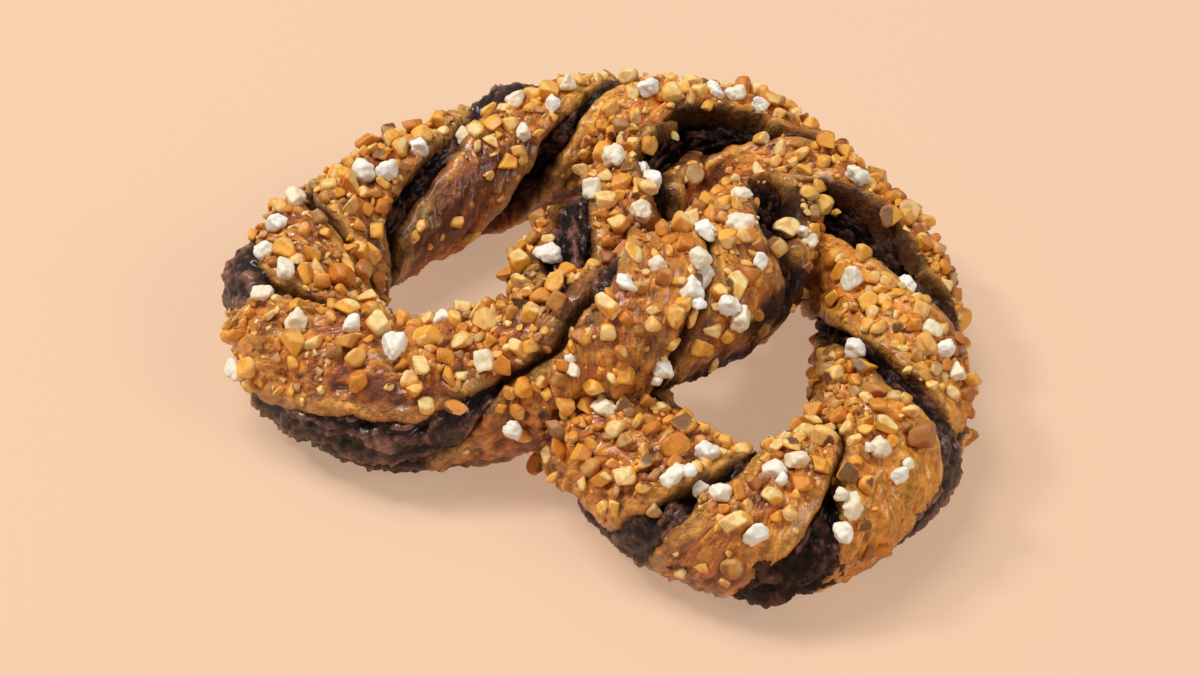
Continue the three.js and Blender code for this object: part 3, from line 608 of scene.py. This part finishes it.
def surface(s0, th0):
    """The exposed skin at a distance and angle: point, normal, whether it is filling."""
    rp = Rope(np.array([s0]))
    o = (math.cos(th0) * rp.S + math.sin(th0) * rp.N)[0]
    start = rp.c[0] + o * (rp.R[0] + 9.0)
    best = None
    for tree, isfill in ((dough_tree, False), (fill_tree, True)):
        hit, nor, idx, dist = tree.ray_cast(Vector(start), Vector(-o), 16.0)
        if hit is not None and (best is None or dist < best[3]):
            best = (np.array(hit), np.array(nor), isfill, dist)
    if best is None:
        return None
    d = np.linalg.norm(best[0] - rp.c[0])
    if d > rp.R[0] + 3.2 or best[3] < 4.0:
        return None
    # buried under another strand
    inside = dough_tree.ray_cast(Vector(best[0] + best[1] * 0.6), Vector((0.0, 0.0, 1.0)), 80.0)
    nrm = best[1] if best[1] @ o > 0 else -best[1]
    covered = inside[0] is not None and nrm[2] > 0.2
    return best[0], nrm, best[2], covered, rp.c[0], o


placed = []                                        # centre, radius


def free(p, rad, share=0.8):
    for c, q in placed_near(p):
        if np.linalg.norm(c - p) < share * (rad + q):
            return False
    return True


_cells = {}


def placed_near(p):
    k = tuple(np.floor(p / 7.0).astype(int))
    for dx in (-1, 0, 1):
        for dy in (-1, 0, 1):
            for dz in (-1, 0, 1):
                yield from _cells.get((k[0] + dx, k[1] + dy, k[2] + dz), ())


def mark(p, rad):
    _cells.setdefault(tuple(np.floor(p / 7.0).astype(int)), []).append((np.array(p), rad))


class Heap:
    def __init__(self):
        self.V, self.F, self.C, self.n = [], [], [], 0

    def add(self, p, f, c):
        self.V.append(p)
        self.F.append(f + self.n)
        self.C.append(c)
        self.n += len(p)

    def mesh(self, name):
        return make_mesh(name, np.concatenate(self.V), np.concatenate(self.F).tolist(), np.concatenate(self.C))


def basis(nrm, spin, tilt, rng):
    n = nrm + tilt * rng.normal(size=3)
    n /= np.linalg.norm(n)
    a = np.cross(n, [0.3, 0.8, 0.52])
    a /= np.linalg.norm(a)
    b = np.cross(n, a)
    u = a * math.cos(spin) + b * math.sin(spin)
    return np.stack([u, np.cross(n, u), n], 1)


NUT_PALE, NUT_GOLD, NUT_TOAST, NUT_EDGE, NUT_SKIN = srgb(252, 222, 152), srgb(248, 180, 68), srgb(214, 130, 42), srgb(140, 72, 26), srgb(92, 48, 28)


def nut(heap, centre, nrm, size, rng, sub=2, brown=0.2, pale_for_light=False):
    k = rng.random()
    kind = "block" if k < 0.66 else "wedge" if k < 0.985 else "round"
    dirs, f = ICO[sub]
    q, _ = np.linalg.qr(rng.normal(size=(3, 3)))
    p, face, edge, nf = chunk(dirs @ q, rng, kind)
    j = rng.random()
    asp = np.array([1.0, rng.uniform(0.78, 1.0), rng.uniform(0.62, 0.9)]) if j < 0.7 else np.array([1.0, rng.uniform(0.5, 0.7), rng.uniform(0.42, 0.6)])
    p = p * asp
    p = p / np.linalg.norm(p, axis=1).max() * size * 0.56
    p = p * (1 + 0.045 * perlin(p / (0.30 * size) + rng.uniform(0, 50, 3), 5))[:, None]
    B = basis(nrm, rng.uniform(0, 6.28), 0.5, rng)
    P = p @ B.T + centre
    base = rng.beta(1.3, 1.7)
    ft = np.clip(base + 0.24 * rng.normal(size=nf + 1), 0, 1)
    ft[-1] = min(1.0, ft[-1] + 0.25)
    # painted light: pieces on the far arc are drawn paler
    if pale_for_light:
        ft = ft * 0.72
    t = ft[face]
    c = mix(NUT_PALE, NUT_GOLD, smooth(0.0, 0.5, t))
    c = mix(c, NUT_TOAST, smooth(0.5, 1.0, t))
    c = mix(c, NUT_EDGE, 0.7 * smooth(0.2, 0.65, edge) * rng.uniform(0.3, 1.0))
    c = mix(c, NUT_TOAST, 0.55 * smooth(0.0, 0.7, perlin(p / (0.35 * size) + rng.uniform(0, 50, 3), 6)))
    if rng.random() < 0.28:
        c = mix(c, NUT_SKIN, np.where(face == rng.integers(0, nf + 1), 0.85, 0.0) * smooth(0.7, 0.3, edge))
    if rng.random() < brown:
        c = mix(c, srgb(146, 86, 54), np.full(len(c), rng.uniform(0.35, 0.75)))
    # painted shade: darker on the side towards the crust
    low = (P - centre) @ nrm / size
    c = mix(c, srgb(120, 62, 28), 0.75 * smooth(-0.02, -0.34, low))
    heap.add(P, f, c)


def nib(heap, centre, nrm, size, rng, sub=3):
    dirs, f = ICO[sub]
    q, _ = np.linalg.qr(rng.normal(size=(3, 3)))
    p, face, edge, nf = chunk(dirs @ q, rng, "block" if rng.random() < 0.5 else "round", 11.0)
    p = p * np.array([1.0, rng.uniform(0.74, 0.98), rng.uniform(0.66, 0.86)])
    p = p / np.linalg.norm(p, axis=1).max() * size * 0.56
    off = rng.uniform(0, 50, 3)
    w1, w2 = worley(p / (0.27 * size) + off, 16)
    p = p * (1 + 0.26 * fbm(p / (0.36 * size) + off, 2, 15) + 0.20 * (0.5 - w1))[:, None]
    B = basis(nrm, rng.uniform(0, 6.28), 0.5, rng)
    P = p @ B.T + centre
    k = rng.uniform(0, 1)
    c = mix(srgb(255, 253, 245), srgb(250, 230, 190), np.full(len(p), 0.9 * k ** 1.6))
    # painted shade: warmer and darker on the side towards the crust
    low = (P - centre) @ nrm / size
    c = mix(c, srgb(226, 186, 130), 0.7 * smooth(-0.08, -0.40, low))
    heap.add(P, f, c)


nuts_a, nuts_b, crumbs, sugars = Heap(), Heap(), Heap(), Heap()

# new nibs and hazelnut pieces, one at the place of each of the CAD part's own, pressed into the crust
nib_nodes = sorted(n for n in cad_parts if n.startswith("sugar_nib"))
nut_nodes = sorted(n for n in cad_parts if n.startswith("hazelnut_piece"))
rope_probe = Rope(np.linspace(0, LENGTH, 1500))


def seat_node(node, size, maker):
    lo, hi = (np.array(v) * 1e3 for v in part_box(node))
    c = (lo + hi) / 2
    dist = np.linalg.norm(rope_probe.c - c, axis=1) - rope_probe.R
    i = int(dist.argmin())
    o = c - rope_probe.c[i]
    o = o - rope_probe.T[i] * (o @ rope_probe.T[i])
    o /= np.linalg.norm(o)
    s0, deg = float(rope_probe.s[i]), math.degrees(math.atan2(o @ rope_probe.N[i], o @ rope_probe.S[i]))
    if 234 < s0 < 260 and 86 < deg < 130:
        th = math.radians(deg - 19)
        o = math.cos(th) * rope_probe.S[i] + math.sin(th) * rope_probe.N[i]
        c = rope_probe.c[i] + o * (rope_probe.R[i] + 1.5)
    hits = []
    for tree in (dough_tree, fill_tree):
        h = tree.ray_cast(Vector(c + o * 4), Vector(-o), 20.0)
        if h[0] is not None:
            hits.append((h[3], np.array(h[0]), np.array(h[1])))
    if hits:
        hits.sort(key=lambda t: t[0])
        p = hits[0][1] + o * size * 0.22
    else:
        p = c
    maker(p, o, size)
    mark(p, size / 2)


for node in nib_nodes:
    seat_node(node, rng.uniform(4.3, 5.4), lambda p, o, sz: nib(sugars, p, o, sz, rng))
for node in nut_nodes:
    seat_node(node, rng.uniform(4.4, 5.5), lambda p, o, sz: nut(nuts_a, p, o, sz, rng, 3))

# more nibs: distance along the rope, angle about it
NIBS = [(302.8, 94), (290.8, 89), (277.8, 78), (271.8, 99), (280.8, 118), (315.8, 90), (312.8, 101), (328.8, 65), (336, 64), (342.8, 68), (348.8, 82), (350.8, 59),
        (17, 79), (8, 64), (266.8, 76), (250.8, 94), (238.8, 76), (233.8, 72), (227.8, 76), (7, 99), (10, 114), (459.6, 101), (439.6, 98), (447.6, 83),
        (430.7, 89), (426.7, 80), (434.6, 78), (435.6, 62), (442.6, 51), (432.6, 56), (436.6, 25), (435.6, 37), (177.9, 135), (171.9, 119), (462.6, 30),
        (199.8, 76), (169.9, 80), (16, 126), (32, 67), (359.8, 73), (367.7, 93), (377.7, 81), (388, 118), (396.7, 63), (354.8, 0), (398.7, 3), (416.7, 29),
        (76.9, 72), (426.7, 6), (157.9, 66), (155.9, 53), (151.9, 41), (152.9, 127), (114.9, 97), (110.9, 89), (114.9, 119), (97.9, 101), (98.9, 71),
        (94.9, 69), (101.9, 69), (103.9, 63), (106.9, 43), (128.9, 70), (128.9, 45), (119.9, 46), (117.9, 29)]
for s0, a0 in NIBS:
    h = surface(s0 + 13.9, math.radians(a0))
    if h is None:
        continue
    size = rng.uniform(3.6, 5.2)
    p = h[0] + h[1] * size * 0.25
    if free(p, size / 2, 0.62):
        nib(sugars, p, h[1], size, rng)
        mark(p, size / 2)
        if rng.random() < 0.4:
            q = np.cross(h[1], rng.normal(size=3))
            q = p + q / np.linalg.norm(q) * size * 0.62 + h[1] * size * rng.uniform(-0.15, 0.12)
            nib(sugars, q, h[1], size * rng.uniform(0.5, 0.75), rng, 2)
            mark(q, size * 0.3)

# bare places: distance, angle, half length, half angle, strength
BARE = [(145, 32, 15, 30, 0.92), (458, 2, 15, 18, 1.0), (396, 38, 13, 14, 0.9), (318, 150, 30, 34, 0.85), (242, 136, 11, 20, 1.0), (205, 78, 9, 9, 0.6), (262, 120, 11, 20, 0.7), (178, 138, 13, 24, 0.7), (150, 20, 18, 34, 0.6), (110, 12, 14, 22, 0.6), (438, 92, 9, 22, 0.75),
        (394, 30, 13, 15, 0.85), (466, 20, 14, 22, 0.85), (210, 150, 14, 22, 0.5), (140, 62, 12, 30, 0.5)]
OUTER = np.array([(0, 0.6), (60, 0.6), (84, 0.6), (110, 0.35), (150, 0.4), (165, 0.8), (240, 0.8), (290, 0.7), (340, 0.95), (395, 1.0), (405, 0.5), (425, 0.5), (450, 0.7), (501, 0.6)])
INNER = np.array([(0, 0.8), (84, 0.8), (150, 0.6), (235, 0.5), (245, 0.25), (345, 0.25), (355, 0.8), (501, 0.8)])


def keep_chance(s0, th):
    a = math.degrees(th)
    k = 1 - float(smooth(60, 15, a)) * (1 - float(np.interp(s0, OUTER[:, 0], OUTER[:, 1])))
    k *= 1 - float(smooth(120, 160, a)) * (1 - float(np.interp(s0, INNER[:, 0], INNER[:, 1])))
    for sc, ac, hs, ha, st in BARE:
        k *= 1 - st * math.exp(-((s0 - sc) / hs) ** 2 - ((a - ac) / ha) ** 2)
    return k


def lip_gap(s0, th):
    """Distance in the skin from the nearest groove's lip, mm; below zero over the filling."""
    best = 99.0
    for L in LINES:
        k0, k1 = np.searchsorted(L[:, 0], (s0 - 13, s0 + 13))
        if k1 <= k0:
            continue
        seg = L[k0:k1]
        dT = (th - seg[:, 1] + math.pi) % (2 * math.pi) - math.pi
        d = np.hypot(s0 - seg[:, 0], dT * 13.0)
        j = int(d.argmin())
        best = min(best, float(d[j] - seg[j, 2]))
    return best


def scatter(count, lo, hi, heap, sub, share, spread, embed, seed, tries=9, brown=0.16):
    r2 = np.random.default_rng(seed)
    done = 0
    for _ in range(count * tries):
        if done >= count:
            break
        s0 = r2.uniform(10, LENGTH - 6)
        a = r2.uniform(-30, 210)
        if r2.random() > math.exp(-(max(abs(a - 90) - 50, 0) / spread) ** 2):
            continue
        th = math.radians(a)
        if r2.random() > keep_chance(s0, th):
            continue
        h = surface(s0, th)
        if h is None or h[3]:
            continue
        if h[1][2] < -0.35 or h[0][2] < 4.5:
            continue
        if h[2] and r2.random() < 0.965:
            continue
        size = lo + (hi - lo) * r2.random() ** 1.4
        gap = lip_gap(s0, th)
        if gap < (0.5 if 183 < s0 < 262 or s0 < 22 or s0 > 466 else 0.28) * size and r2.random() < 0.93:
            continue
        p = h[0] + h[1] * size * (embed - 0.13 * float(smooth(48, 80, abs(a - 90))))
        if not free(p, size / 2, share):
            continue
        # the far arc gets almost no browned pieces and paler ones: painted light
        nut(heap, p, h[1], size, r2, sub, 0.62 if 150 < s0 < 345 and a < 46 else 0.03 if 165 < s0 < 300 and brown < 0.2 else brown, 175 < s0 < 300 and a > 60)
        mark(p, size / 2)
        done += 1
    return done


n1 = scatter(150, 4.2, 5.8, nuts_a, 3, 0.74, 52, 0.20, 101)
n2 = scatter(560, 2.7, 4.6, nuts_b, 2, 0.68, 52, 0.16, 102, 12)
n3 = scatter(620, 1.7, 3.0, crumbs, 2, 0.55, 58, 0.06, 104, 9, 0.45)
n4 = scatter(900, 0.8, 1.9, crumbs, 1, 0.48, 60, 0.02, 103, 9, 0.3)
print("toppings", n1, n2, n3, n4)

o_nuts_a = nuts_a.mesh("hazelnut_chops_large")
o_nuts_b = nuts_b.mesh("hazelnut_chops_small")
o_crumbs = crumbs.mesh("hazelnut_crumbs")
o_sugar = sugars.mesh("pearl_sugar")

# ------------------------------------------------------------------ materials
def new_material(name):
    m = bpy.data.materials.new(name)
    m.use_nodes = True
    nt = m.node_tree
    nt.nodes.clear()
    out = nt.nodes.new("ShaderNodeOutputMaterial")
    bsdf = nt.nodes.new("ShaderNodeBsdfPrincipled")
    nt.links.new(bsdf.outputs["BSDF"], out.inputs["Surface"])
    return m, nt, bsdf


def node(nt, kind, **kw):
    n = nt.nodes.new(kind)
    for k, v in kw.items():
        if k in n.inputs.keys() if hasattr(n.inputs, "keys") else False:
            n.inputs[k].default_value = v
        else:
            setattr(n, k, v)
    return n


def noise(nt, coord, scale, detail=4.0, rough=0.55, distortion=0.0):
    n = nt.nodes.new("ShaderNodeTexNoise")
    n.inputs["Scale"].default_value = scale
    n.inputs["Detail"].default_value = detail
    n.inputs["Roughness"].default_value = rough
    n.inputs["Distortion"].default_value = distortion
    nt.links.new(coord, n.inputs["Vector"])
    return n.outputs["Fac"]


def ramp(nt, fac, stops):
    r = nt.nodes.new("ShaderNodeValToRGB")
    el = r.color_ramp.elements
    while len(el) > 1:
        el.remove(el[-1])
    for i, (pos, col) in enumerate(stops):
        e = el[0] if i == 0 else el.new(pos)
        e.position = pos
        e.color = (*col, 1.0) if len(col) == 3 else col
    nt.links.new(fac, r.inputs["Fac"])
    return r.outputs["Color"]


def mixer(nt, blend, fac, a, b):
    m = nt.nodes.new("ShaderNodeMix")
    m.data_type = "RGBA"
    m.blend_type = blend
    if isinstance(fac, float):
        m.inputs[0].default_value = fac
    else:
        nt.links.new(fac, m.inputs[0])
    nt.links.new(a, m.inputs[6])
    nt.links.new(b, m.inputs[7])
    return m.outputs[2]


def maprange(nt, val, a, b, c, d):
    m = nt.nodes.new("ShaderNodeMapRange")
    m.inputs["From Min"].default_value, m.inputs["From Max"].default_value = a, b
    m.inputs["To Min"].default_value, m.inputs["To Max"].default_value = c, d
    nt.links.new(val, m.inputs["Value"])
    return m.outputs["Result"]


def add(nt, a, b, ka=1.0, kb=1.0):
    m1 = nt.nodes.new("ShaderNodeMath"); m1.operation = "MULTIPLY"; m1.inputs[1].default_value = ka; nt.links.new(a, m1.inputs[0])
    m2 = nt.nodes.new("ShaderNodeMath"); m2.operation = "MULTIPLY_ADD"; m2.inputs[1].default_value = kb; nt.links.new(b, m2.inputs[0]); nt.links.new(m1.outputs[0], m2.inputs[2])
    return m2.outputs[0]


def coords(nt):
    return nt.nodes.new("ShaderNodeTexCoord").outputs["Object"]


def bump(nt, height, strength, dist, bsdf):
    b = nt.nodes.new("ShaderNodeBump")
    b.inputs["Strength"].default_value = strength
    b.inputs["Distance"].default_value = dist
    nt.links.new(height, b.inputs["Height"])
    nt.links.new(b.outputs["Normal"], bsdf.inputs["Normal"])


def tone_attr(nt):
    a = nt.nodes.new("ShaderNodeAttribute")
    a.attribute_name = "tone"
    return a.outputs["Color"]


# crust
mat_dough, nt, bs = new_material("crust")
co = coords(nt)
n_fine = noise(nt, co, 900.0, 5.0, 0.62)
n_mid = noise(nt, co, 340.0, 5.0, 0.62, 0.8)
n_big = noise(nt, co, 70.0, 3.0, 0.5)
var = ramp(nt, add(nt, n_fine, n_mid, 0.5, 0.5), [(0.34, (0.42, 0.32, 0.26)), (0.50, (1.0, 1.0, 1.0)), (0.64, (1.42, 1.36, 1.16))])
c1 = mixer(nt, "MULTIPLY", 1.0, tone_attr(nt), var)
nt.links.new(c1, bs.inputs["Base Color"])
nt.links.new(maprange(nt, n_big, 0.35, 0.65, 0.30, 0.52), bs.inputs["Roughness"])
at = nt.nodes.new("ShaderNodeAttribute")
at.attribute_name = "glaze"
nt.links.new(maprange(nt, at.outputs["Fac"], 0.0, 1.0, 0.04, 0.5), bs.inputs["Specular IOR Level"])
nt.links.new(maprange(nt, at.outputs["Fac"], 0.0, 1.0, 0.02, 0.6), bs.inputs["Coat Weight"])
bs.inputs["Coat Roughness"].default_value = 0.18
bs.inputs["Subsurface Weight"].default_value = 0.0
bump(nt, add(nt, n_fine, n_mid, 0.6, 1.0), 1.0, 0.0014, bs)

# filling
mat_choc, nt, bs = new_material("chocolate")
co = coords(nt)
n_fine = noise(nt, co, 1100.0, 5.0, 0.65)
n_mid = noise(nt, co, 380.0, 4.0, 0.6, 0.6)
var = ramp(nt, add(nt, n_fine, n_mid, 0.5, 0.5), [(0.34, (0.26, 0.22, 0.20)), (0.50, (1.0, 1.0, 1.0)), (0.64, (2.4, 2.0, 1.8))])
c1 = mixer(nt, "MULTIPLY", 1.0, tone_attr(nt), var)
nt.links.new(c1, bs.inputs["Base Color"])
nt.links.new(maprange(nt, n_mid, 0.35, 0.65, 0.30, 0.62), bs.inputs["Roughness"])
at = nt.nodes.new("ShaderNodeAttribute")
at.attribute_name = "open"
nt.links.new(maprange(nt, at.outputs["Fac"], 0.2, 1.0, 0.03, 0.34), bs.inputs["Specular IOR Level"])
nt.links.new(maprange(nt, at.outputs["Fac"], 0.2, 1.0, 0.02, 0.6), bs.inputs["Coat Weight"])
bs.inputs["Specular Tint"].default_value = (1.0, 0.80, 0.72, 1.0)
bs.inputs["Coat Roughness"].default_value = 0.2
bump(nt, add(nt, n_fine, n_mid, 0.8, 1.0), 1.0, 0.0012, bs)

# hazelnut
mat_nut, nt, bs = new_material("toasted_hazelnut")
co = coords(nt)
n_fine = noise(nt, co, 1500.0, 4.0, 0.6)
n_mid = noise(nt, co, 500.0, 3.0, 0.55)
var = ramp(nt, add(nt, n_fine, n_mid, 0.4, 0.6), [(0.30, (0.70, 0.60, 0.48)), (0.50, (1.0, 1.0, 1.0)), (0.72, (1.14, 1.12, 1.08))])
c1 = mixer(nt, "MULTIPLY", 1.0, tone_attr(nt), var)
nt.links.new(c1, bs.inputs["Base Color"])
nt.links.new(maprange(nt, n_mid, 0.35, 0.65, 0.36, 0.55), bs.inputs["Roughness"])
bs.inputs["Specular IOR Level"].default_value = 0.45
bs.inputs["Subsurface Weight"].default_value = 0.12
bs.inputs["Subsurface Radius"].default_value = (0.0012, 0.0007, 0.0003)
bs.inputs["Subsurface Scale"].default_value = 1.0
bump(nt, add(nt, n_fine, n_mid, 0.6, 0.8), 0.35, 0.0003, bs)

# pearl sugar
mat_sugar, nt, bs = new_material("pearl_sugar")
co = coords(nt)
n_fine = noise(nt, co, 2200.0, 4.0, 0.7)
n_mid = noise(nt, co, 700.0, 3.0, 0.6)
var = ramp(nt, add(nt, n_fine, n_mid, 0.5, 0.5), [(0.34, (0.93, 0.89, 0.80)), (0.50, (1.0, 1.0, 1.0)), (0.70, (1.04, 1.04, 1.04))])
c1 = mixer(nt, "MULTIPLY", 1.0, tone_attr(nt), var)
nt.links.new(c1, bs.inputs["Base Color"])
bs.inputs["Roughness"].default_value = 0.42
bs.inputs["Subsurface Weight"].default_value = 0.10
bs.inputs["Subsurface Radius"].default_value = (0.0010, 0.0008, 0.0006)
bs.inputs["Subsurface Scale"].default_value = 1.0
bump(nt, add(nt, n_fine, n_mid, 0.7, 0.8), 0.7, 0.00035, bs)

for ob, mat, slot in ((pastry, mat_dough, "dough"), (filling, mat_choc, "filling"), (o_nuts_a, mat_nut, "hazelnut"), (o_nuts_b, mat_nut, "hazelnut"), (o_crumbs, mat_nut, "hazelnut"), (o_sugar, mat_sugar, "sugar")):
    ob.data.materials.append(mat)
    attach(ob, "root")

fill_nodes = sorted(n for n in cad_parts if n.startswith("chocolate_filling"))
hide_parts("pastry_twist")
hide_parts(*fill_nodes)
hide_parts(*nut_nodes)
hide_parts(*nib_nodes)

# ------------------------------------------------------------------ floor, light
me = bpy.data.meshes.new("floor")
S_ = 3.0
me.from_pydata([(-S_, -S_, 0), (S_, -S_, 0), (S_, S_, 0), (-S_, S_, 0)], [], [(0, 1, 2, 3)])
floor = bpy.data.objects.new("floor", me)
floor.location.z = -0.0002
bpy.context.scene.collection.objects.link(floor)
mat_floor, nt, bs = new_material("floor_card")
co = coords(nt)
nf = noise(nt, co, 3.0, 2.0, 0.5)
fc = srgb(245, 207, 174)
nt.links.new(ramp(nt, nf, [(0.3, tuple(fc * 0.485)), (0.7, tuple(fc * 0.495))]), bs.inputs["Base Color"])
bs.inputs["Emission Color"].default_value = (*fc, 1.0)
bs.inputs["Emission Strength"].default_value = 0.47
bs.inputs["Roughness"].default_value = 0.9
bs.inputs["Specular IOR Level"].default_value = 0.1
floor.data.materials.append(mat_floor)

world = bpy.data.worlds.new("studio")
world.use_nodes = True
world.node_tree.nodes["Background"].inputs["Color"].default_value = (1.0, 0.97, 0.94, 1)
world.node_tree.nodes["Background"].inputs["Strength"].default_value = 0.24
bpy.context.scene.world = world


def area(name, az, el, dist, size, power, colour=(1, 1, 1)):
    """az is measured from straight behind the camera's view axis: 0 is the camera's side, 90 its right, 180 behind the object."""
    a = AZ + math.radians(az)
    d = Vector((math.sin(a) * math.cos(math.radians(el)), -math.cos(a) * math.cos(math.radians(el)), math.sin(math.radians(el))))
    L = bpy.data.lights.new(name, "AREA")
    L.shape = "DISK"
    L.size = size
    L.energy = power
    L.color = colour
    ob = bpy.data.objects.new(name, L)
    ob.location = d * dist
    ob.rotation_euler = d.to_track_quat("Z", "Y").to_euler()
    bpy.context.scene.collection.objects.link(ob)


area("softbox", -120, 70, 2.4, 1.1, 27.0, (1.0, 0.99, 0.97))
area("key", -105, 50, 2.6, 0.5, 26.0, (1.0, 0.985, 0.96))
area("fill", 62, 40, 2.8, 1.2, 18.0, (1.0, 1.0, 1.0))

bpy.context.scene.view_settings.view_transform = "Standard"
bpy.context.scene.view_settings.look = "None"
bpy.context.scene.view_settings.exposure = 0.0
bpy.context.scene.view_settings.gamma = 1.0
